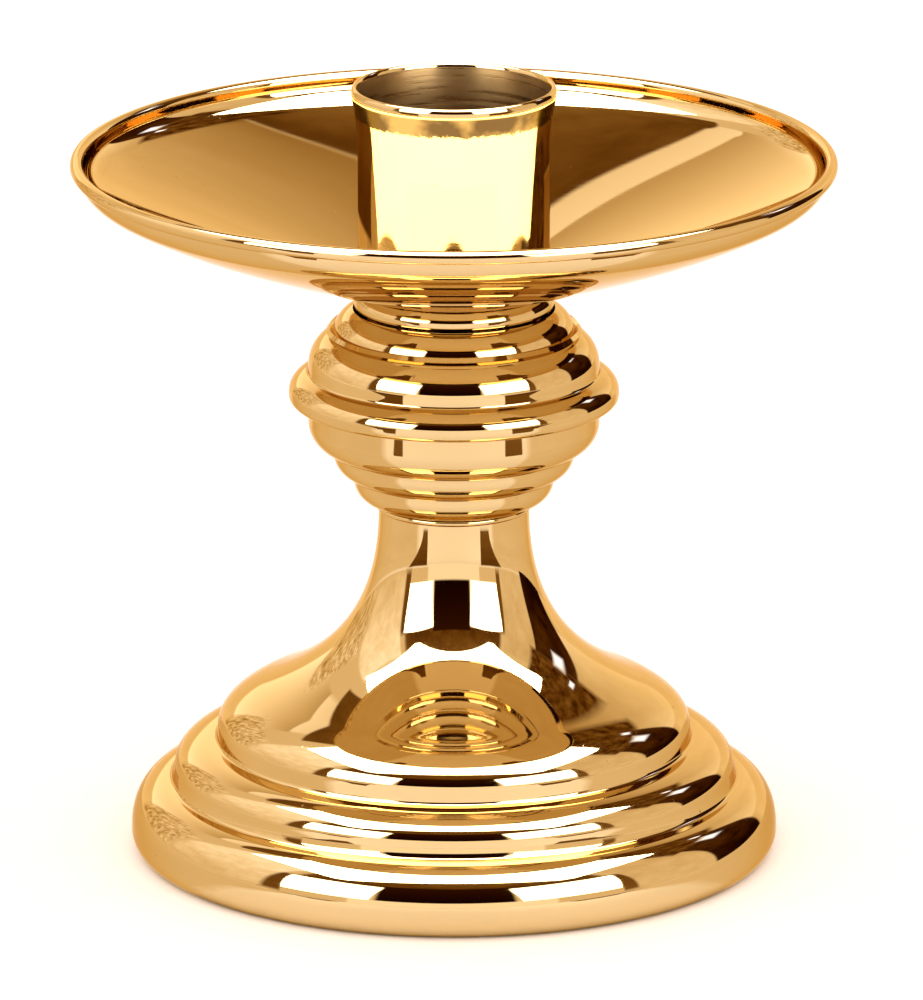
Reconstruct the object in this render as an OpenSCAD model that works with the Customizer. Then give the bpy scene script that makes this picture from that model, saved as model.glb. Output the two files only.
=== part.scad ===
// Altar candlestick: a flared candle socket in a dished drip pan, on a ringed knop,
// a flared neck and a round base of three steps, all drawn together by one tie rod.
// Own frame: millimetres, +Z up, origin on the table at the centre of the foot.

/* [Candle socket] */
// Diameter of the candle that the socket takes
candle_d = 38.1; // [37:0.1:39]
// Radial gap between the candle and the socket's wall
candle_gap = 0.25; // [0.1:0.05:0.4]
// Thickness of the socket's wall
socket_wall = 0.8; // [0.7:0.1:1]
// How far the socket's mouth flares out past its straight wall
mouth_flare = 1.4; // [0.8:0.1:1.8]
// Height of the socket's lip above the table
lip_z = 165; // [160:1:170]

/* [Drip pan] */
// Overall diameter of the drip pan
pan_d = 160.2; // [156:0.2:166]
// Height of the rolled rim's centre line above the pan's underside
pan_depth = 28.5; // [27:0.5:30]
// Radius of the rolled rim
rim_r = 1.4; // [1.2:0.1:1.6]
// Thickness of the pan's sheet
pan_sheet = 1.1; // [0.9:0.1:1.3]

/* [Knop] */
// Radius of the knop's flange, its widest ring
flange_r = 34.7; // [34:0.1:36]
// Radius of the large ring on each side of the flange
large_ring_r = 30.6; // [30:0.1:31]
// Radius of the middle ring on each side of the flange
middle_ring_r = 25.3; // [25:0.1:25.8]
// Radius of the small ring at each end of the knop
small_ring_r = 21; // [20.6:0.1:21.4]
// Height of the flange's widest line above the table
flange_z = 99.4; // [99:0.1:100]

/* [Base] */
// Diameter of the base at its widest line
base_d = 136.5; // [134:0.5:140]
// Height of the lowest step
step_1_z = 14.9; // [14.5:0.1:15.3]
// Radius of the middle step
step_2_r = 59.1; // [58:0.1:60]
// Height of the middle step
step_2_z = 23.7; // [23.2:0.1:24]
// Radius of the top step
step_3_r = 49.9; // [49:0.1:50.5]
// Radius of the neck under the knop
neck_r = 15.85; // [15.4:0.05:16.2]
// Height of the neck's top
neck_z = 74; // [73:0.5:74.5]
// Thickness of the base's and the knop's sheet
body_sheet = 1.2; // [1:0.1:1.3]

/* [Tie rod] */
// Diameter of the tie rod over its thread
rod_d = 6.35; // [6:0.05:6.5]
// Pitch of the thread
thread_pitch = 1.27; // [1:0.01:1.5]
// Turns that the socket makes before it leaves the thread
thread_turns = 5; // [3:1:5]

/* [Hidden] */

$fn = 96;
slack = 0.05;                  // radial play of pieces that only locate each other
rod_r = rod_d / 2;
rod_hole_r = rod_r + 0.15;     // clearance holes along the rod
running_r = rod_r + 0.075;     // the tapped boss, which turns on the rod

pan_z = 120;                   // underside of the pan's flat middle
pan_flat_r = 16;
pan_floor_z = pan_z + pan_sheet;
pan_slope = 1 / 3;
rim_z = pan_z + pan_depth;
rim_cr = pan_d / 2 - rim_r;

bore_r = candle_d / 2 + candle_gap;
socket_r = bore_r + socket_wall;
flare_z = lip_z - 14;          // where the straight wall starts to flare
lip_r = 0.85;                  // half the thickness of the rounded lip

washer_r = 11;
washer_h = 1.1;
spigot_r = 5;
boss_z = pan_floor_z + washer_h;
boss_r = 8;
boss_h = 7.8;
floor_h = 1.2;
floor_recess = 0.2;            // how far the tube is opened out to take the floor
socket_floor_z = boss_z + boss_h;
floor_top_z = socket_floor_z + floor_h;
tube_foot_z = pan_floor_z + (socket_r - pan_flat_r) * pan_slope + 0.5;

nut_flats = 11.1;
nut_h = 5.5;
thin_nut_h = 3.2;
nut_recess_r = 8;

seat_z = 117.45;               // where the seat rests on the knop
seat_floor_z = pan_z - nut_h - 0.1;
seat_web = 2;

plug_bead_r = neck_r + 0.55;
plug_top_z = neck_z + 1.4;
plug_depth = 10;

felt_h = 1.6;
plate_h = 1.2;
plate_r = base_d / 2 - 4.5;
bridge_z = step_2_z - body_sheet - 0.7;    // top face of the bridge plate
bridge_h = 2;
lock_h = 1.6;
clamp_nut_z = bridge_z - bridge_h - lock_h - nut_h;
ballast_h = 6;
ballast_z = clamp_nut_z - ballast_h;
plate_well_z = ballast_z - plate_h;        // underside of the raised middle of the plate
plate_well_r = 14;

// Points on an elliptical arc about [cr, cz]; a power over 2 squares its shoulder.
function swell(cr, cz, rr, rz, from, to, power = 2, n = 8) = [
  for (i = [0 : n])
    let (a = from + (to - from) * i / n)
    [cr + rr * sign(cos(a)) * pow(abs(cos(a)), 2 / power),
     cz + rz * sign(sin(a)) * pow(abs(sin(a)), 2 / power)]
];

// Points on a cubic curve from p to s, pulled towards q and r.
function curve(p, q, r, s, n = 12) = [
  for (i = [0 : n])
    let (t = i / n, u = 1 - t)
    u * u * u * p + 3 * u * u * t * q + 3 * u * t * t * r + t * t * t * s
];

// Angle on an arc of half width rr at which it stands x out from its centre.
function angle_at(x, rr) = acos(x / rr);

// A path moved sideways, to its left, by d: the other face of a sheet of thickness d.
function left_of(path, d) = [
  for (i = [0 : len(path) - 1])
    let (
      along = path[min(i + 1, len(path) - 1)] - path[max(i - 1, 0)],
      left = [-along.y, along.x] / norm(along)
    )
    path[i] + d * left
];

function reversed(path) = [for (i = [len(path) - 1 : -1 : 0]) path[i]];

// A spun shell: its outer face is the path, walked upwards with the axis on the left.
module spun(path, sheet) {
  rotate_extrude() polygon(concat(path, reversed(left_of(path, sheet))));
}

module ring(outer_r, inner_r, z, h) {
  translate([0, 0, z]) difference() {
    cylinder(r = outer_r, h = h);
    translate([0, 0, -1]) cylinder(r = inner_r, h = h + 2);
  }
}

module hex_nut(z, h) {
  translate([0, 0, z]) difference() {
    cylinder(d = nut_flats / cos(30), h = h, $fn = 6);
    translate([0, 0, -1]) cylinder(r = rod_r + slack, h = h + 2);
  }
}

// --- Base ---------------------------------------------------------------------------

base_path =
  let (
    base_r = base_d / 2,
    foot_r = base_r - 3.85,
    waist_z = 4.15,            // height of the widest line
    crest_1_r = step_2_r + 0.6,
    crest_2_r = step_3_r + 0.2,
    wall_2_z = 17.5,
    wall_3_z = 26.5,
    bend = [40.3, 35.5]        // where the top step's shoulder turns into the flare
  )
  concat(
    swell(foot_r, waist_z, base_r - foot_r, waist_z, -90, 0, n = 5),
    swell(crest_1_r, waist_z, base_r - crest_1_r, step_1_z - waist_z, 8, 90, power = 2.3),
    swell(crest_2_r, wall_2_z, step_2_r - crest_2_r, step_2_z - wall_2_z, 0, 90, power = 2.2),
    curve([step_3_r, wall_3_z], [step_3_r, wall_3_z + 4.6], bend + [3.5, -1.5], bend, n = 8),
    curve(bend, bend + [-15.8, 7], [neck_r, neck_z - 20.6], [neck_r, neck_z], n = 16)
  );

module base_shell() {
  color("goldenrod") spun(base_path, body_sheet);
}

module neck_plug() {
  bead_h = plug_top_z - neck_z;
  color("goldenrod") rotate_extrude() polygon(concat(
    [[rod_hole_r, neck_z - plug_depth], [neck_r - body_sheet - slack, neck_z - plug_depth],
     [neck_r - body_sheet - slack, neck_z]],
    swell(plug_bead_r - bead_h / 2, neck_z + bead_h / 2, bead_h / 2, bead_h / 2, -90, 90),
    [[rod_hole_r, plug_top_z]]
  ));
}

// --- Knop ---------------------------------------------------------------------------

lower_path =
  let (
    small = [15.9, 80.2],      // centres of the rings' rounded undersides
    middle = [20.4, 85.9],
    large = [24.8, 93],
    flange_foot_z = 97.2
  )
  concat(
    swell(small.x, small.y, small_ring_r - small.x, 4.75, -angle_at(0.7, 5.1), 0),
    swell(middle.x, middle.y, middle_ring_r - middle.x, 4.6, -angle_at(0.7, 4.9), 0),
    swell(large.x, large.y, large_ring_r - large.x, 6, -angle_at(0.7, 5.8), 0),
    [[large_ring_r, flange_foot_z]],
    swell(flange_r - 1.6, flange_foot_z + 1.7, 1.6, 1.7, -90, 0, n = 4),
    [[flange_r, flange_z]]
  );

upper_path =
  let (
    seam_h = 0.1,              // short upright stretch, so that the two shells meet flat
    flange = [30, flange_z + seam_h],   // centres of the rings' rounded shoulders
    large = [24.8, 105],
    middle = [20, 112]
  )
  concat(
    [[flange_r, flange_z]],
    swell(flange.x, flange.y, flange_r - flange.x, 4.15 - seam_h, 0, angle_at(0.7, 4.7)),
    swell(large.x, large.y, large_ring_r - large.x, 6.9, 0, angle_at(0.6, 5.8)),
    swell(middle.x, middle.y, middle_ring_r - middle.x, 5.45, 0, angle_at(1.2, 5.3))
  );

module knop_lower_shell() {
  color("goldenrod") spun(lower_path, body_sheet);
}

module knop_upper_shell() {
  color("goldenrod") spun(upper_path, body_sheet);
}

module spacer_tube() {
  color("darkgoldenrod") ring(6, rod_hole_r + slack, plug_top_z, seat_floor_z - seat_web - plug_top_z);
}

// --- Seat and drip pan --------------------------------------------------------------

module pan_seat() {
  shoulder_r = 3.5;
  spigot_outer_r = small_ring_r - 1.8;
  color("goldenrod") difference() {
    rotate_extrude() polygon(concat(
      [[0, seat_floor_z - seat_web], [12, seat_floor_z - seat_web], [12, seat_z - 2],
       [spigot_outer_r, seat_z - 2], [spigot_outer_r, seat_z], [small_ring_r, seat_z]],
      swell(small_ring_r - shoulder_r, seat_z + 1.35, shoulder_r, 3, 0, angle_at(2.1, shoulder_r)),
      [[pan_flat_r, pan_z], [0, pan_z]]
    ));
    translate([0, 0, seat_floor_z]) cylinder(r = nut_recess_r, h = nut_h + 2);
    cylinder(r = rod_hole_r, h = pan_z);
  }
}

// Angles about the rolled rim's centre line at which its outer and inner faces start.
rim_outer_angle = -100;
rim_inner_angle = 196;

// Underside of the pan, from its hole out to the foot of the rolled rim.
pan_path =
  let (
    turn = [pan_d / 2 - 5.6, rim_z - 6.3],   // where the dish turns up to the rim
    foot = [rim_cr, rim_z] + rim_r * [cos(rim_outer_angle), sin(rim_outer_angle)]
  )
  concat(
    [[rod_hole_r + slack, pan_z]],
    curve([pan_flat_r, pan_z], [37, pan_z + 7], turn - [14.5, 8.2], turn, n = 14),
    curve(turn, turn + [2.1, 1.2], foot - [0.1, 2.1], foot, n = 5)
  );

module drip_pan() {
  color("goldenrod") rotate_extrude() polygon(concat(
    pan_path,
    swell(rim_cr, rim_z, rim_r, rim_r, rim_outer_angle, rim_inner_angle, n = 16),
    reversed(left_of(pan_path, pan_sheet))
  ));
}

// --- Candle socket ------------------------------------------------------------------

module socket_tube() {
  outer = concat(
    [[socket_r, tube_foot_z]],
    curve([socket_r, flare_z], [socket_r, flare_z + 6], [socket_r + mouth_flare - 0.6, lip_z - 4.5],
          [socket_r + mouth_flare, lip_z - 2])
  );
  mouth_r = socket_r + mouth_flare - 1.6;
  color("goldenrod") rotate_extrude() polygon(concat(
    outer,
    swell(mouth_r + lip_r, lip_z - 1.4, lip_r - 0.1, 1.4, 20, 160),
    [[bore_r, flare_z], [bore_r, floor_top_z], [bore_r + floor_recess, floor_top_z],
     [bore_r + floor_recess, tube_foot_z]]
  ));
}

module socket_floor() {
  color("darkgoldenrod")
    ring(bore_r + floor_recess - slack, spigot_r + slack, socket_floor_z, floor_h);
}

module socket_boss() {
  spigot_z = pan_floor_z + 0.3;
  color("darkgoldenrod") difference() {
    union() {
      translate([0, 0, boss_z]) cylinder(r = boss_r, h = boss_h);
      translate([0, 0, spigot_z]) cylinder(r = spigot_r, h = floor_top_z - spigot_z);
    }
    translate([0, 0, pan_floor_z]) cylinder(r = running_r, h = boss_h + 1);
  }
}

module friction_washer() {
  color("saddlebrown") ring(washer_r, spigot_r + slack, pan_floor_z, washer_h);
}

// --- Tie rod and what it clamps -----------------------------------------------------

module tie_rod() {
  bottom_z = plate_well_z - thin_nut_h - 0.5;
  top_z = boss_z + thread_turns * thread_pitch;
  chamfer = 0.8;
  color("silver") rotate_extrude() polygon([
    [0, bottom_z], [rod_r - chamfer, bottom_z], [rod_r, bottom_z + chamfer],
    [rod_r, top_z - chamfer], [rod_r - chamfer, top_z], [0, top_z]
  ]);
}

module column_nut() {
  color("silver") hex_nut(seat_floor_z, nut_h);
}

module bridge_plate() {
  color("silver") ring(step_3_r + 3.4, rod_hole_r, bridge_z - bridge_h, bridge_h);
}

module lock_washer() {
  color("silver") difference() {
    ring(5.6, rod_hole_r, bridge_z - bridge_h - lock_h, lock_h);
    translate([0, -0.6, 0]) cube([10, 1.2, 2 * bridge_z]);
  }
}

module clamp_nut() {
  color("silver") hex_nut(clamp_nut_z, nut_h);
}

module ballast() {
  color("dimgray") ring(step_3_r + 2, rod_hole_r + 0.5, ballast_z, ballast_h);
}

module bottom_plate() {
  color("silver") difference() {
    rotate_extrude() polygon([
      [rod_hole_r, plate_well_z], [plate_well_r, plate_well_z], [plate_well_r, felt_h], [plate_r, felt_h],
      [plate_r, felt_h + plate_h], [plate_well_r + plate_h, felt_h + plate_h],
      [plate_well_r + plate_h, plate_well_z + plate_h], [rod_hole_r, plate_well_z + plate_h]
    ]);
    translate([0, 0, felt_h]) cylinder(r = rod_hole_r, h = ballast_z);
  }
}

module cover_nut() {
  color("silver") hex_nut(plate_well_z - thin_nut_h, thin_nut_h);
}

module felt_pad() {
  color("darkgreen") ring(plate_r - 0.8, plate_well_r, 0, felt_h);
}

socket_tube();
socket_floor();
socket_boss();
friction_washer();
drip_pan();
pan_seat();
column_nut();
spacer_tube();
knop_upper_shell();
knop_lower_shell();
neck_plug();
base_shell();
tie_rod();
bridge_plate();
lock_washer();
clamp_nut();
ballast();
bottom_plate();
cover_nut();
felt_pad();
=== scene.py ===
"""Looks of the altar candlestick: spun and polished brass on a pale studio floor.

Lengths in the profiles are millimetres, as on a turner's drawing; lathe() turns them into metres.
"""

import math

import bmesh
import bpy
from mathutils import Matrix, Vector


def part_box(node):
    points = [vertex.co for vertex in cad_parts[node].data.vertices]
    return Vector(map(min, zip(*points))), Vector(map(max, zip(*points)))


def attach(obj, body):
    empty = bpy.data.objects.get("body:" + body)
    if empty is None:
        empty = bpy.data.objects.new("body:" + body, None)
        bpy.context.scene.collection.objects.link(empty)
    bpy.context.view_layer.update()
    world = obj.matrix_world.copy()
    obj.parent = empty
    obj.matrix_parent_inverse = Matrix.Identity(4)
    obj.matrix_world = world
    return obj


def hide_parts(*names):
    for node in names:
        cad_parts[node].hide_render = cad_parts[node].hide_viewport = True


MM = 0.001
LATHE_SEGMENTS = 288
SMOOTH_ANGLE = math.radians(35)
FILLET_STEPS = 8

BRASS = (0.65, 0.495, 0.25)
BRASS_WORN = (0.58, 0.42, 0.19)
RAW_BRASS = (0.42, 0.28, 0.11)
# Painted dark reflection: brass painted nearly black for a band below the socket's lip.
PAINTED_DARK_REFLECTION = (0.046, 0.032, 0.018)
BRASS_EDGE = (0.80, 0.62, 0.38, 1.0)

# Lower and upper edge of the painted dark reflection on the socket's mouth, in millimetres below the
# lip.
PAINTED_REFLECTION_BAND = (6.3, 1.9)

# Radiance of the studio's lamps. The dimmer a cloth, the browner its light: each channel of it
# is scale * level ** power, with the scales and powers of CLOTH_TINT.
ROOF_RADIANCE = 11.0
BOX_RADIANCE = 6.0
CLOTH_TINT = ((1.0, 1.0), (0.72, 1.36), (0.43, 2.2))


# --- Profiles ---------------------------------------------------------------------------


def swell(cr, cz, rr, rz, start, end, power=2.0, count=28):
    """Points on an elliptical arc about (cr, cz); a power over 2 squares its shoulder."""
    points = []
    for i in range(count + 1):
        a = math.radians(start + (end - start) * i / count)
        c, s = math.cos(a), math.sin(a)
        points.append((
            cr + rr * math.copysign(abs(c) ** (2 / power), c),
            cz + rz * math.copysign(abs(s) ** (2 / power), s),
        ))
    return points


def curve(p, q, r, s, count=40):
    """Points on a cubic curve from p to s, pulled towards q and r."""
    points = []
    for i in range(count + 1):
        t = i / count
        u = 1 - t
        weights = (u * u * u, 3 * u * u * t, 3 * u * t * t, t * t * t)
        points.append(tuple(
            sum(w * point[axis] for w, point in zip(weights, (p, q, r, s))) for axis in (0, 1)
        ))
    return points


def angle_at(x, rr):
    """Angle on an arc of half width rr at which it stands x out from its centre."""
    return math.degrees(math.acos(x / rr))


def turn_at(path, i):
    """How far, in degrees, the path turns at point i, positive to the left."""
    a = Vector(path[i]) - Vector(path[i - 1])
    b = Vector(path[i + 1]) - Vector(path[i])
    return math.degrees(math.atan2(a.x * b.y - a.y * b.x, a.dot(b)))


def without_repeats(path, gap=1e-4):
    """The path without the points that lie on the one before them."""
    kept = [path[0]]
    for point in path[1:]:
        if math.dist(point, kept[-1]) > gap:
            kept.append(point)
    return kept


def point_along(path, i, step, reach):
    """The point reach away from point i along the path, and the index of the next point kept."""
    left = reach
    while 0 <= i + step < len(path):
        length = math.dist(path[i], path[i + step])
        if length > left:
            share = left / length
            spot = tuple(path[i][k] + share * (path[i + step][k] - path[i][k]) for k in (0, 1))
            return spot, i + step
        left -= length
        i += step
    return path[i], i


def rounded(path, reach, sharpest=12.0):
    """The path with each corner sharper than that many degrees turned into a small fillet."""
    path = without_repeats(path)
    corners = [i for i in range(1, len(path) - 1) if abs(turn_at(path, i)) > sharpest]
    done = []
    start = 0
    for i in corners:
        before, last = point_along(path, i, -1, reach)
        after, following = point_along(path, i, 1, reach)
        done += path[start:last + 1]
        for k in range(FILLET_STEPS + 1):
            t = k / FILLET_STEPS
            weights = ((1 - t) ** 2, 2 * t * (1 - t), t ** 2)
            done.append(tuple(
                sum(w * point[axis] for w, point in zip(weights, (before, path[i], after)))
                for axis in (0, 1)
            ))
        start = following
    return without_repeats(done + path[start:])


def left_of(path, distance):
    """The path moved sideways, to its left: the other face of a sheet."""
    moved = []
    for i, point in enumerate(path):
        along = Vector(path[min(i + 1, len(path) - 1)]) - Vector(path[max(i - 1, 0)])
        along.normalize()
        moved.append((point[0] - distance * along.y, point[1] + distance * along.x))
    return moved


def sheet_section(path, thickness):
    """The closed outline of a sheet whose outer face is the path."""
    return path + left_of(path, thickness)[::-1]


# --- Meshes -----------------------------------------------------------------------------


def lathe(name, section, inner_from=None):
    """That closed section turned about Z. Faces from point inner_from on take material slot 1."""
    section = without_repeats(section)
    mesh = bpy.data.meshes.new(name)
    bm = bmesh.new()
    rings = []
    for k in range(LATHE_SEGMENTS):
        a = 2 * math.pi * k / LATHE_SEGMENTS
        rings.append([
            bm.verts.new((r * math.cos(a) * MM, r * math.sin(a) * MM, z * MM)) for r, z in section
        ])
    count = len(section)
    for k in range(LATHE_SEGMENTS):
        here, there = rings[k], rings[(k + 1) % LATHE_SEGMENTS]
        for i in range(count):
            j = (i + 1) % count
            face = bm.faces.new((here[i], there[i], there[j], here[j]))
            face.smooth = True
            face.material_index = int(inner_from is not None and i >= inner_from)
    bmesh.ops.recalc_face_normals(bm, faces=bm.faces)
    bm.to_mesh(mesh)
    bm.free()
    mesh.set_sharp_from_angle(angle=SMOOTH_ANGLE)
    piece = bpy.data.objects.new(name, mesh)
    bpy.context.scene.collection.objects.link(piece)
    return piece


def piece_for(node, piece, body, slot, *materials):
    """Puts the piece in the place of the CAD node, on its body, with its materials."""
    for material in materials:
        piece.data.materials.append(material)
    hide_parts(node)
    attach(piece, body)


def spans(node):
    """Outer radius, lowest and highest point of a CAD node, in millimetres."""
    low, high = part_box(node)
    return high.x / MM, low.z / MM, high.z / MM


# --- Node helpers -----------------------------------------------------------------------


class Nodes:
    """A material being wired: each method adds a node and returns the output it is used by."""

    def __init__(self, name):
        self.material = bpy.data.materials.new(name)
        self.material.use_nodes = True
        self.tree = self.material.node_tree
        self.shader = next(n for n in self.tree.nodes if n.type == "BSDF_PRINCIPLED")
        self.place = self.add("ShaderNodeTexCoord").outputs["Object"]

    def add(self, kind, inputs=(), **settings):
        node = self.tree.nodes.new(kind)
        for key, value in settings.items():
            setattr(node, key, value)
        for key, value in dict(inputs).items():
            if isinstance(value, bpy.types.NodeSocket):
                self.tree.links.new(value, node.inputs[key])
            else:
                node.inputs[key].default_value = value
        return node

    def math(self, operation, a, b=0.0):
        return self.add("ShaderNodeMath", {0: a, 1: b}, operation=operation).outputs[0]

    def ramp(self, value, low, high, to_low=0.0, to_high=1.0):
        inputs = {0: value, 1: low, 2: high, 3: to_low, 4: to_high}
        return self.add("ShaderNodeMapRange", inputs).outputs[0]

    def noise(self, vector, scale, detail=3.0, roughness=0.5):
        inputs = {"Vector": vector, "Scale": scale, "Detail": detail, "Roughness": roughness}
        return self.add("ShaderNodeTexNoise", inputs).outputs["Fac"]

    def mix(self, share, a, b):
        node = self.add("ShaderNodeMix", {0: share}, data_type="RGBA")
        for socket, value in ((6, a), (7, b)):
            if isinstance(value, bpy.types.NodeSocket):
                self.tree.links.new(value, node.inputs[socket])
            else:
                node.inputs[socket].default_value = (*value, 1.0)
        return node.outputs[2]

    def spin_place(self, around=0.02):
        """Coordinates (radius, height, a little of the way round) for marks left by spinning."""
        axes = self.add("ShaderNodeSeparateXYZ", {0: self.place}).outputs
        flat = self.add("ShaderNodeCombineXYZ", {0: axes[0], 1: axes[1]}).outputs[0]
        radius = self.add("ShaderNodeVectorMath", {0: flat}, operation="LENGTH").outputs["Value"]
        sweep = self.math("MULTIPLY", self.math("ADD", axes[0], axes[1]), around)
        return self.add("ShaderNodeCombineXYZ", {0: radius, 1: axes[2], 2: sweep}).outputs[0]

    def bump(self, height, strength, distance):
        inputs = {"Height": height, "Strength": strength, "Distance": distance}
        return self.add("ShaderNodeBump", inputs).outputs[0]

    def feed(self, **sockets):
        names = {"color": "Base Color", "roughness": "Roughness", "normal": "Normal"}
        for key, value in sockets.items():
            self.tree.links.new(value, self.shader.inputs[names[key]])
        return self.material


# --- Materials --------------------------------------------------------------------------


def polished_brass(name="polished_brass", painted_band=None):
    """Mirror-bright spun brass: faint spin rings, specks, a little tarnish.

    Between the two heights of the band, in metres, a painted dark reflection makes it nearly black
    and a little duller, with a ragged lower edge.
    """
    n = Nodes(name)
    n.shader.inputs["Metallic"].default_value = 1.0
    n.shader.inputs["Specular Tint"].default_value = BRASS_EDGE
    spin = n.spin_place()
    rings = n.noise(spin, 900, detail=2)
    slow_rings = n.noise(spin, 160, detail=2)
    cloud = n.noise(n.place, 22, detail=4)
    speck = n.ramp(n.noise(n.place, 420, detail=2), 0.74, 0.80)
    tarnish = n.ramp(cloud, 0.55, 0.95, 0.0, 0.35)
    color = n.mix(tarnish, BRASS, BRASS_WORN)
    color = n.mix(n.math("MULTIPLY", speck, 0.6), color, RAW_BRASS)
    roughness = n.ramp(rings, 0.3, 0.7, 0.018, 0.04)
    roughness = n.math("ADD", roughness, n.ramp(cloud, 0.4, 0.8, 0.0, 0.025))
    roughness = n.math("ADD", roughness, n.math("MULTIPLY", speck, 0.25))
    # Painted dark reflection: a band below the socket's lip, brass painted nearly black, with ragged
    # edge and patches.
    if painted_band is not None:
        low, high = painted_band
        fade, stray = 0.0004, 0.0006
        z = n.add("ShaderNodeSeparateXYZ", {0: n.place}).outputs[2]
        ragged = n.ramp(n.noise(n.place, 700, detail=5, roughness=0.7), 0.3, 0.7, -stray, stray)
        painted_dark = n.ramp(n.math("ADD", z, ragged), low, low + fade)
        painted_dark = n.math("MULTIPLY", painted_dark, n.ramp(z, high - fade, high, 1.0, 0.0))
        patches = n.ramp(n.noise(n.place, 130, detail=3), 0.45, 0.65, 1.0, 0.82)
        color = n.mix(n.math("MULTIPLY", painted_dark, patches), color, PAINTED_DARK_REFLECTION)
        roughness = n.math("ADD", roughness, n.math("MULTIPLY", painted_dark, 0.12))
    height = n.math("ADD", rings, n.math("MULTIPLY", slow_rings, 3.0))
    return n.feed(color=color, roughness=roughness, normal=n.bump(height, 0.05, 0.00002))


def brushed_brass_painted_shade():
    """The inside of the socket: dull, brushed round and round, its colour darkened as painted shade
    of the tube's inside.
    """
    n = Nodes("brushed_brass_painted_shade")
    n.shader.inputs["Metallic"].default_value = 1.0
    spin = n.spin_place(around=0.05)
    strokes = n.noise(spin, 1500, detail=3)
    stain = n.ramp(n.noise(n.place, 90, detail=5), 0.4, 0.75)
    # Painted shade: both colours are brass darkened for the shade inside the socket; the stain
    # varies them at random.
    color = n.mix(stain, (0.32, 0.215, 0.10), (0.22, 0.14, 0.055))
    roughness = n.ramp(strokes, 0.3, 0.7, 0.24, 0.40)
    return n.feed(color=color, roughness=roughness, normal=n.bump(strokes, 0.25, 0.0001))


def turned_brass():
    """Bar brass straight from the lathe, with its tool marks left on."""
    n = Nodes("turned_brass")
    n.shader.inputs["Metallic"].default_value = 1.0
    grooves = n.noise(n.spin_place(), 2400, detail=2)
    cloud = n.noise(n.place, 60, detail=4)
    color = n.mix(cloud, (0.56, 0.40, 0.20), (0.42, 0.28, 0.12))
    roughness = n.ramp(grooves, 0.3, 0.7, 0.2, 0.36)
    return n.feed(color=color, roughness=roughness, normal=n.bump(grooves, 0.3, 0.0001))


def plated_steel():
    """Zinc-plated steel: a mottled, slightly blue grey."""
    n = Nodes("zinc_plated_steel")
    n.shader.inputs["Metallic"].default_value = 1.0
    grain = n.noise(n.place, 700, detail=3)
    spangle = n.noise(n.place, 120, detail=4)
    color = n.mix(spangle, (0.60, 0.62, 0.64), (0.42, 0.43, 0.44))
    roughness = n.ramp(grain, 0.3, 0.7, 0.26, 0.42)
    return n.feed(color=color, roughness=roughness, normal=n.bump(grain, 0.2, 0.0001))


def fibre():
    """Vulcanised fibre: hard red-brown board with a fibrous surface."""
    n = Nodes("vulcanised_fibre")
    strands = n.noise(n.spin_place(around=0.6), 800, detail=5)
    color = n.mix(strands, (0.23, 0.06, 0.035), (0.13, 0.03, 0.02))
    roughness = n.ramp(strands, 0.3, 0.7, 0.5, 0.7)
    return n.feed(color=color, roughness=roughness, normal=n.bump(strands, 0.4, 0.0002))


def cast_iron():
    """Rough sand-cast iron under thin black paint."""
    n = Nodes("cast_iron")
    sand = n.noise(n.place, 500, detail=6, roughness=0.7)
    color = n.mix(sand, (0.030, 0.030, 0.032), (0.075, 0.07, 0.065))
    roughness = n.ramp(sand, 0.3, 0.7, 0.55, 0.8)
    return n.feed(color=color, roughness=roughness, normal=n.bump(sand, 0.8, 0.0005))


def felt():
    """Green baize: matted fibres with darker worn patches."""
    n = Nodes("felt")
    n.shader.inputs["Sheen Weight"].default_value = 0.15
    n.shader.inputs["Sheen Roughness"].default_value = 0.6
    fibres = n.noise(n.place, 2600, detail=6, roughness=0.75)
    patches = n.noise(n.place, 45, detail=4)
    color = n.mix(fibres, (0.012, 0.075, 0.035), (0.035, 0.15, 0.07))
    color = n.mix(n.ramp(patches, 0.45, 0.8, 0.0, 0.5), color, (0.012, 0.05, 0.025))
    roughness = n.ramp(fibres, 0.3, 0.7, 0.85, 1.0)
    return n.feed(color=color, roughness=roughness, normal=n.bump(fibres, 0.9, 0.0004))


# --- Brass pieces -----------------------------------------------------------------------

SHEET = 1.2
ROD_HOLE_R = 3.325
BASE_CREASE = 0.9
KNOP_CREASE = 0.6


def base_shell(brass):
    """Three steps and the flared neck, spun from one sheet."""
    outer_r, _, neck_z = spans("base_shell")
    neck_r = outer_r - 52.4
    foot_round = 3.85
    waist_z, wall_2_z, wall_3_z = 4.15, 17.5, 26.5
    step_1_z, step_2_z = 14.9, 23.7
    step_2_r, step_3_r = outer_r - 9.15, outer_r - 18.35
    crest_1_r, crest_2_r = step_2_r + 0.6, step_3_r + 0.2
    bend_r, bend_z = 40.3, 35.5
    bend = (bend_r, bend_z)
    step_1 = (crest_1_r, waist_z, outer_r - crest_1_r, step_1_z - waist_z)
    step_2 = (crest_2_r, wall_2_z, step_2_r - crest_2_r, step_2_z - wall_2_z)
    shoulder = ((step_3_r, wall_3_z), (step_3_r, wall_3_z + 4.6), (bend_r + 3.5, bend_z - 1.5), bend)
    flare = (bend, (bend_r - 15.8, bend_z + 7), (neck_r, neck_z - 20.6), (neck_r, neck_z))
    path = (
        swell(outer_r - foot_round, waist_z, foot_round, waist_z, -90, 0, count=16)
        + swell(*step_1, 8, 90, power=2.3, count=30)
        + swell(*step_2, 0, 90, power=2.2, count=24)
        + curve(*shoulder, count=20)
        + curve(*flare, count=42)
    )
    piece = lathe("base_shell_spun", sheet_section(rounded(path, BASE_CREASE), SHEET))
    piece_for("base_shell", piece, "stand", "polished_brass", brass)


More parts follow.
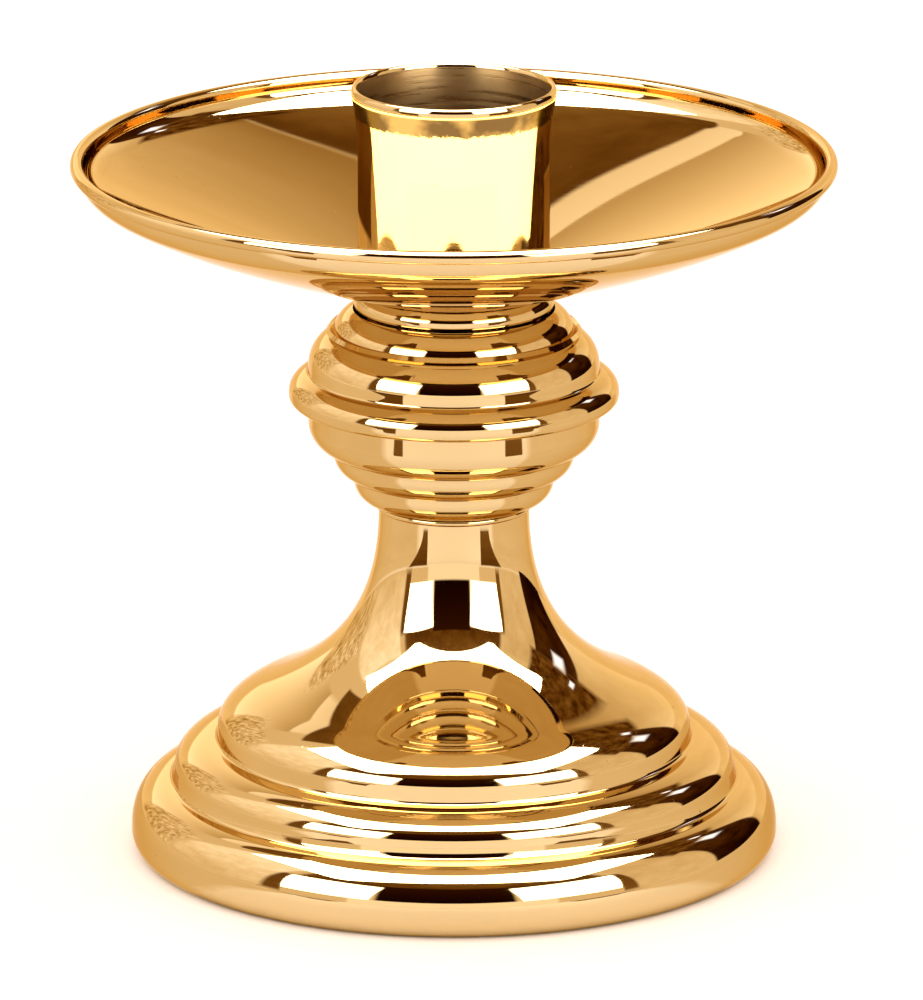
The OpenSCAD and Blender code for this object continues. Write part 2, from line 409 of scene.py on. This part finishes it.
def neck_plug(brass):
    """The turned plug in the neck, of which only the bead on top shows."""
    bead_r, bottom_z, top_z = spans("neck_plug")
    bead_h = 1.4
    bead_out = 0.55
    play = 0.05
    neck_z = top_z - bead_h
    plug_r = bead_r - bead_out - SHEET - play
    section = (
        [(ROD_HOLE_R, bottom_z), (plug_r, bottom_z), (plug_r, neck_z)]
        + swell(bead_r - bead_h / 2, neck_z + bead_h / 2, bead_h / 2, bead_h / 2, -90, 90)
        + [(ROD_HOLE_R, top_z)]
    )
    piece = lathe("neck_plug_turned", section)
    piece_for("neck_plug", piece, "stand", "polished_brass", brass)


def ring_below(cr, cz, rr, rz):
    """The underside of a ring about (cr, cz), from just outside cr to its widest line."""
    start = 0.7
    return swell(cr, cz, rr, rz, -angle_at(start, rr), 0)


def ring_above(cr, cz, rr, rz, end):
    """The top of a ring about (cr, cz), from its widest line back to end outside cr."""
    return swell(cr, cz, rr, rz, 0, angle_at(end, rr))


def knop_lower(brass):
    """Three rings that widen upwards and the lower half of the flange."""
    flange_r, _, seam_z = spans("knop_lower_shell")
    large_r = flange_r - 4.1
    small, middle, large = (15.9, 80.2), (20.4, 85.9), (24.8, 93)
    flange_foot_z, flange_round = 97.2, 1.6
    path = (
        ring_below(*small, 5.1, 4.75)
        + ring_below(*middle, 4.9, 4.6)
        + ring_below(*large, large_r - large[0], 6)
        + [(large_r, flange_foot_z)]
        + swell(flange_r - flange_round, flange_foot_z + 1.7, flange_round, 1.7, -90, 0)
        + [(flange_r, seam_z)]
    )
    piece = lathe("knop_lower_spun", sheet_section(rounded(path, KNOP_CREASE), SHEET))
    piece_for("knop_lower_shell", piece, "stand", "polished_brass", brass)


def knop_upper(brass):
    """The upper half of the flange and two rings that narrow upwards."""
    flange_r, seam_z, _ = spans("knop_upper_shell")
    flange, large, middle = (30, seam_z), (24.8, 105), (20, 112)
    path = (
        ring_above(*flange, flange_r - flange[0], 4.15, 0.7)
        + ring_above(*large, 5.8, 6.9, 0.6)
        + ring_above(*middle, 5.3, 5.45, 1.2)
    )
    piece = lathe("knop_upper_spun", sheet_section(rounded(path, KNOP_CREASE), SHEET))
    piece_for("knop_upper_shell", piece, "stand", "polished_brass", brass)


def pan_seat(brass):
    """The turned ring under the pan, hollowed on top for the column's nut."""
    ring_r, bottom_z, crest_z = spans("pan_seat")
    web = 2
    top_z = crest_z - 1.2
    seat_z = top_z - 2.55
    core_r, pan_flat_r, groove_r = 12, 16, ring_r - 1.1
    groove_z = seat_z - 2
    recess_r, recess_z = 8, bottom_z + web
    shoulder_r, shoulder_h = 3.5, 3
    shoulder = (ring_r - shoulder_r, seat_z + 1.35, shoulder_r, shoulder_h)
    outside = (
        [(core_r, bottom_z), (core_r, groove_z), (groove_r, groove_z), (groove_r, seat_z)]
        + swell(*shoulder, -26, angle_at(2.1, shoulder_r))
        + [(pan_flat_r, top_z)]
    )
    inside = [
        (recess_r, top_z), (recess_r, recess_z), (ROD_HOLE_R, recess_z), (ROD_HOLE_R, bottom_z)
    ]
    piece = lathe("pan_seat_turned", rounded(outside, 0.3, sharpest=30) + inside)
    piece_for("pan_seat", piece, "stand", "polished_brass", brass)


def drip_pan(brass):
    """The dish: a flat middle, a shallow bowl, a short steep wall and a rolled rim."""
    outer_r, pan_z, rim_top = spans("drip_pan")
    sheet, rim_r, hole_r, flat_r = 1.1, 1.4, 3.375, 16
    rim_cr, rim_z = outer_r - rim_r, rim_top - rim_r
    turn_r, turn_z = outer_r - 5.6, rim_z - 6.3
    rim_start, rim_end = -100, 196
    foot_r = rim_cr + rim_r * math.cos(math.radians(rim_start))
    foot_z = rim_z + rim_r * math.sin(math.radians(rim_start))
    turn, foot = (turn_r, turn_z), (foot_r, foot_z)
    bowl = ((flat_r, pan_z), (37, pan_z + 7), (turn_r - 14.5, turn_z - 8.2), turn)
    wall_path = (turn, (turn_r + 2.1, turn_z + 1.2), (foot_r - 0.1, foot_z - 2.1), foot)
    under = rounded(
        [(hole_r, pan_z)] + curve(*bowl, count=90) + curve(*wall_path), 1.5, sharpest=6
    )
    section = under + swell(rim_cr, rim_z, rim_r, rim_r, rim_start, rim_end, count=40)
    section += left_of(under, sheet)[::-1]
    piece = lathe("drip_pan_spun", section)
    piece_for("drip_pan", piece, "stand", "polished_brass", brass)


def socket_tube(brass, liner):
    """The candle's tube: a flared mouth, a rounded lip and a step for its floor inside."""
    mouth_r, foot_z, lip_z = spans("socket_tube")
    outer_r, bore_r, lip_r, lip_h = 20.1, 19.3, 0.85, 1.4
    flare_z, lip_foot_z = lip_z - 14, lip_z - 2
    floor_recess = 0.2
    recess_r, floor_top_z = bore_r + floor_recess, spans("socket_floor")[2]
    outer = [(outer_r, foot_z)] + curve(
        (outer_r, flare_z), (outer_r, flare_z + 6), (mouth_r - 0.6, lip_z - 4.5),
        (mouth_r, lip_foot_z),
    )
    lip = swell(mouth_r - 1.6 + lip_r, lip_z - lip_h, lip_r - 0.1, lip_h, 20, 160)
    inner = [(bore_r, flare_z), (bore_r, floor_top_z), (recess_r, floor_top_z), (recess_r, foot_z)]
    section = outer + lip + inner
    piece = lathe("socket_tube_turned", section, inner_from=len(outer + lip) - 2)
    piece_for("socket_tube", piece, "socket", "polished_brass", brass, liner)


# --- CAD nodes that stay ----------------------------------------------------------------

NODE_FINISH = {
    "socket_floor": "turned_brass",
    "socket_boss": "turned_brass",
    "spacer_tube": "turned_brass",
    "friction_washer": "vulcanised_fibre",
    "column_nut": "zinc_plated_steel",
    "tie_rod": "zinc_plated_steel",
    "bridge_plate": "zinc_plated_steel",
    "lock_washer": "zinc_plated_steel",
    "clamp_nut": "zinc_plated_steel",
    "bottom_plate": "zinc_plated_steel",
    "cover_nut": "zinc_plated_steel",
    "ballast": "cast_iron",
    "felt_pad": "felt",
}


def finish_nodes(frame):
    """Gives the CAD nodes that no piece replaces their materials."""
    finishes = {
        "turned_brass": turned_brass(),
        "zinc_plated_steel": plated_steel(),
        "vulcanised_fibre": fibre(),
        "cast_iron": cast_iron(),
        "felt": felt(),
    }
    for node_name, finish in NODE_FINISH.items():
        materials = frame["nodes"][node_name].data.materials
        for index in range(len(materials)):
            materials[index] = finishes[finish]


# --- Studio -----------------------------------------------------------------------------


def direction(azimuth, elevation):
    """Unit vector seen from the object; azimuth 0 is towards the camera, positive rightwards."""
    a, e = math.radians(azimuth), math.radians(elevation)
    return Vector((math.sin(a) * math.cos(e), -math.cos(a) * math.cos(e), math.sin(e)))


def aim(thing, spot, target):
    """Puts a lamp or camera at spot, looks it at target and adds it to the scene."""
    thing.location = spot
    thing.rotation_euler = (target - spot).to_track_quat("-Z", "Y").to_euler()
    bpy.context.scene.collection.objects.link(thing)


def softbox(name, spot, target, size, radiance):
    """A rectangular lamp of that size, seen only in the reflections."""
    lamp = bpy.data.lights.new(name, "AREA")
    lamp.shape = "RECTANGLE"
    lamp.size, lamp.size_y = size
    lamp.energy = radiance * math.pi * size[0] * size[1]
    box = bpy.data.objects.new(name, lamp)
    box.visible_camera = False
    box.visible_diffuse = False
    aim(box, spot, target)


def cloth_glow(name, bottom, top, folds=0.0, stretch=(1, 1, 1), soft=0.03):
    """Light off the tent's cloth, from its bottom level to its top one.

    Creases vary it by a share folds, finer where stretch is larger; its edges fade over soft.
    """
    n = Nodes(name)
    n.tree.nodes.remove(n.shader)
    across = n.add("ShaderNodeSeparateXYZ", {0: n.add("ShaderNodeUVMap").outputs[0]}).outputs
    creases = n.add("ShaderNodeMapping", {"Vector": n.place, "Scale": stretch}).outputs[0]
    crease = n.ramp(n.noise(creases, 4, detail=4, roughness=0.6), 0.3, 0.7, 1 - folds, 1 + folds)
    level = n.math("MULTIPLY", n.ramp(across[1], 0, 1, bottom, top), crease)
    channels = [n.math("MULTIPLY", n.math("POWER", level, power), scale)
                for scale, power in CLOTH_TINT]
    color = n.add("ShaderNodeCombineColor", dict(enumerate(channels))).outputs[0]
    glow = n.add("ShaderNodeEmission", {"Color": color})
    edges = [n.math("PINGPONG", across[k], 0.5) for k in (0, 1)]
    inside = n.ramp(n.math("MINIMUM", *edges), 0.0, soft)
    clear = n.add("ShaderNodeBsdfTransparent")
    blend = n.add("ShaderNodeMixShader", {0: inside, 1: clear.outputs[0], 2: glow.outputs[0]})
    n.tree.links.new(blend.outputs[0], n.tree.nodes["Material Output"].inputs["Surface"])
    return n.material


def reflected_card(name, material, spot, wide, high):
    """A grid of points spot(u, v), u and v from 0 to 1, that only the reflections show."""
    mesh = bpy.data.meshes.new(name)
    points = [spot(i / wide, j / high) for j in range(high + 1) for i in range(wide + 1)]
    faces = [
        (k, k + 1, k + wide + 2, k + wide + 1)
        for j in range(high) for k in range(j * (wide + 1), j * (wide + 1) + wide)
    ]
    mesh.from_pydata([tuple(point) for point in points], [], faces)
    layer = mesh.uv_layers.new()
    for loop in mesh.loops:
        row, column = divmod(loop.vertex_index, wide + 1)
        layer.data[loop.index].uv = (column / wide, row / high)
    mesh.materials.append(material)
    card = bpy.data.objects.new(name, mesh)
    card.visible_camera = False
    card.visible_diffuse = False
    card.visible_shadow = False
    bpy.context.scene.collection.objects.link(card)


def between(limits, share):
    """The value that share of the way from the first limit to the second."""
    return limits[0] + (limits[1] - limits[0]) * share


def wall(name, target, distance, azimuths, elevations, material):
    """Part of the light tent, curved about the target, that fills these directions."""
    def spot(u, v):
        return target + distance * direction(between(azimuths, u), between(elevations, v))

    reflected_card(name, material, spot, wide=24, high=8)


def side_table(name, azimuths, material):
    """The table away from the lamps, a sector of a ring about the object."""
    inner_r, outer_r, height = 0.06, 2.6, 0.0005

    def spot(u, v):
        flat = direction(between(azimuths, u), 0) * between((inner_r, outer_r), v * v)
        return Vector((flat.x, flat.y, height))

    reflected_card(name, material, spot, wide=24, high=24)


def table_gap(name, side, near, far, material):
    """Bare table beside the front tile: a wedge that widens from near to far, in degrees.

    It starts steepest below the horizon, as seen from the knop's height, and ends at flattest.
    """
    inner, height = 39, 0.001
    knop_height, steepest, flattest = 0.09, 17, 1.5

    def spot(u, v):
        reach = knop_height / math.tan(math.radians(between((steepest, flattest), v)))
        azimuth = side * between((inner, between((near, far), v ** 1.5)), u)
        flat = direction(azimuth, 0) * reach
        return Vector((flat.x, flat.y, height))

    reflected_card(name, material, spot, wide=8, high=24)


def front_box(name, target, azimuths, elevations):
    """One of the two tall softboxes beside the camera."""
    distance = 1.5
    azimuth, elevation = sum(azimuths) / 2, sum(elevations) / 2
    half_wide = math.radians(azimuths[1] - azimuths[0]) / 2 * math.cos(math.radians(elevation))
    half_high = math.radians(elevations[1] - elevations[0]) / 2
    size = (2 * distance * math.tan(half_wide), 2 * distance * math.tan(half_high))
    spot = target + distance * direction(azimuth, elevation)
    softbox(name, spot, target, size, BOX_RADIANCE)


def studio_lights(target):
    """Two tall boxes, a roof over the object and a soft fill that the reflections don't show."""
    front_box("left_box", target, (-64, -28), (6, 35))
    front_box("right_box", target, (22, 62), (6, 35))
    roof = target + Vector((0.0, -0.235, 1.2))
    roof_size = (2.0, 1.33)
    softbox("roof_box", roof, roof - Vector((0, 0, 1)), roof_size, ROOF_RADIANCE)
    fill = bpy.data.lights.new("fill", "SUN")
    fill.energy = 1.5
    fill.color = (1.0, 0.5, 0.3)
    fill.angle = math.radians(120)
    fill_lamp = bpy.data.objects.new("fill", fill)
    fill_lamp.visible_glossy = False
    aim(fill_lamp, target + direction(0, 80), target)


def studio_walls(target):
    """The tent round the object: pale panels, brown openings between them and a black flag.

    Each wall has its distance, its azimuths, its elevations and the levels at its foot and top.
    """
    def cloth_wall(name, distance, azimuths, elevations, *levels, **look):
        wall(name, target, distance, azimuths, elevations, cloth_glow(name, *levels, **look))

    cloth_wall("camera_gap", 1.45, (-28, 22), (5, 37), 0.008, 0.04)
    cloth_wall("front_top_gap", 1.75, (-66, 63), (34, 60), 0.16, 0.32, folds=0.3)
    cloth_wall("left_housing", 1.7, (-72, -62), (-2, 36), 0.25, 0.2, soft=0.1)
    cloth_wall("right_housing", 1.7, (60.5, 68), (-2, 36), 0.3, 0.2, soft=0.1)
    bare_table = cloth_glow("bare_table", 0.28, 0.16, folds=0.15)
    dim_table = cloth_glow("dim_table", 1.12, 1.2, folds=0.05, soft=0.06)
    side_table("left_table", (-150, -52), dim_table)
    side_table("right_table", (56, 150), dim_table)
    table_gap("left_table_gap", -1, 46, 69, bare_table)
    table_gap("right_table_gap", 1, 53, 73, bare_table)
    cloth_wall("front_sill", 1.9, (-38, 37), (-2, 6.5), 1.6, 1.6, soft=0.02)
    cloth_wall("left_panel", 1.65, (-118, -69), (-1, 50), 1.2, 1.75, folds=0.12, soft=0.05)
    cloth_wall("left_folds", 1.6, (-150, -118), (-2, 32), 1.05, 1.15, folds=0.5,
               stretch=(6, 6, 1.5), soft=0.08)
    cloth_wall("right_panel", 1.65, (66, 110), (-2, 47), 1.15, 1.05, folds=0.08)
    cloth_wall("right_flag", 1.55, (103, 139), (-6, 36), 0.01, 0.1, folds=0.6, soft=0.04)
    cloth_wall("right_corner", 1.6, (96, 152), (33, 62), 0.2, 0.14, folds=0.8,
               stretch=(2, 2, 4), soft=0.08)
    cloth_wall("lamp_spot", 1.5, (120, 131), (27, 37), 4, 3, soft=0.5)
    cloth_wall("small_lamp_spot", 1.5, (133, 137), (37, 41), 4, 3, soft=0.5)
    cloth_wall("backdrop", 1.8, (138, 222), (-4, 20), 1.5, 1.3, folds=0.04, soft=0.08)
    cloth_wall("back_right_cloth", 1.7, (132, 182), (10, 54), 1.6, 0.5, folds=0.05, soft=0.02)
    cloth_wall("back_right_dark", 1.65, (118, 184), (53.5, 76), 0.2, 0.45, folds=0.25)
    cloth_wall("back_left_cloth", 1.7, (-182, -138), (10, 42), 2.2, 0.8, soft=0.04)
    cloth_wall("back_left_strip", 1.68, (-182, -138), (40.5, 47), 1.6, 1.4, soft=0.08)
    cloth_wall("back_left_dark", 1.65, (-184, -128), (46, 76), 0.2, 0.4, folds=0.3)


def studio_world():
    """The tent's tan walls in the reflections, and white for all else that looks out."""
    world = bpy.data.worlds.new("studio")
    world.use_nodes = True
    tree = world.node_tree
    pale = tree.nodes["Background"]
    pale.inputs["Color"].default_value = (1, 1, 1, 1)
    pale.inputs["Strength"].default_value = 1.16
    tan = tree.nodes.new("ShaderNodeBackground")
    level = 1.15
    tan.inputs["Color"].default_value = (*(a * level ** power for a, power in CLOTH_TINT), 1)
    path = tree.nodes.new("ShaderNodeLightPath")
    mix = tree.nodes.new("ShaderNodeMixShader")
    tree.links.new(path.outputs["Is Glossy Ray"], mix.inputs[0])
    tree.links.new(pale.outputs[0], mix.inputs[1])
    tree.links.new(tan.outputs[0], mix.inputs[2])
    tree.links.new(mix.outputs[0], tree.nodes["World Output"].inputs["Surface"])
    bpy.context.scene.world = world


def floor_material():
    """A pale table, left out from below so that the object's underside can be seen."""
    n = Nodes("studio_floor")
    grain = n.noise(n.place, 60, detail=3)
    color = n.mix(grain, (0.88, 0.88, 0.88), (0.92, 0.92, 0.92))
    n.shader.inputs["Specular IOR Level"].default_value = 0.1
    n.feed(color=color, roughness=n.ramp(grain, 0.3, 0.7, 0.7, 0.85))
    below = n.add("ShaderNodeNewGeometry").outputs["Backfacing"]
    clear = n.add("ShaderNodeBsdfTransparent").outputs[0]
    blend = n.add("ShaderNodeMixShader", {0: below, 1: n.shader.outputs[0], 2: clear})
    n.tree.links.new(blend.outputs[0], n.tree.nodes["Material Output"].inputs["Surface"])
    return n.material


def studio_floor():
    """A wide plane, a twentieth of a millimetre above the object's foot."""
    reach, height = 9.0, 0.00005
    mesh = bpy.data.meshes.new("floor")
    corners = [(x * reach, y * reach, height) for x, y in ((-1, -1), (1, -1), (1, 1), (-1, 1))]
    mesh.from_pydata(corners, [], [(0, 1, 2, 3)])
    mesh.materials.append(floor_material())
    floor = bpy.data.objects.new("floor", mesh)
    bpy.context.scene.collection.objects.link(floor)


def camera(target):
    """A long lens from a little above, in front of the object."""
    lens, distance, elevation = 411, 2.4, 15.85
    data = bpy.data.cameras.new("camera")
    data.lens = lens
    data.clip_start = 0.05
    data.clip_end = 60
    eye = bpy.data.objects.new("camera", data)
    aim(eye, target + distance * direction(0, elevation), target)
    bpy.context.scene.camera = eye


# --- Scene ------------------------------------------------------------------------------

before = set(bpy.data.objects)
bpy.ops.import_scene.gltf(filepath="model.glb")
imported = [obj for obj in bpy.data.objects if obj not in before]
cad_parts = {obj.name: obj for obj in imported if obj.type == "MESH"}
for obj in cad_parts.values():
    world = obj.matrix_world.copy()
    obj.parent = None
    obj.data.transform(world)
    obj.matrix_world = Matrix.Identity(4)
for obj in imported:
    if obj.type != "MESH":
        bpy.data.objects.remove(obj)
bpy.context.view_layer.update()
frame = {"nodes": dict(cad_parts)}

brass = polished_brass()
lip_z = spans("socket_tube")[2]
# The socket's brass, with a painted dark reflection in a band below its lip.
brass_with_painted_reflection = polished_brass("brass_with_painted_reflection", [(lip_z - below) * MM for below in PAINTED_REFLECTION_BAND])
liner = brushed_brass_painted_shade()
base_shell(brass)
neck_plug(brass)
knop_lower(brass)
knop_upper(brass)
pan_seat(brass)
drip_pan(brass)
socket_tube(brass_with_painted_reflection, liner)

finish_nodes(frame)

scene = bpy.context.scene
scene.view_settings.view_transform = "Standard"
# A little below mid-height, and a little to the right of the axis.
target = Vector((0.00158, 0, 0.0754))
studio_world()
studio_floor()
studio_lights(target)
studio_walls(target)
camera(target)
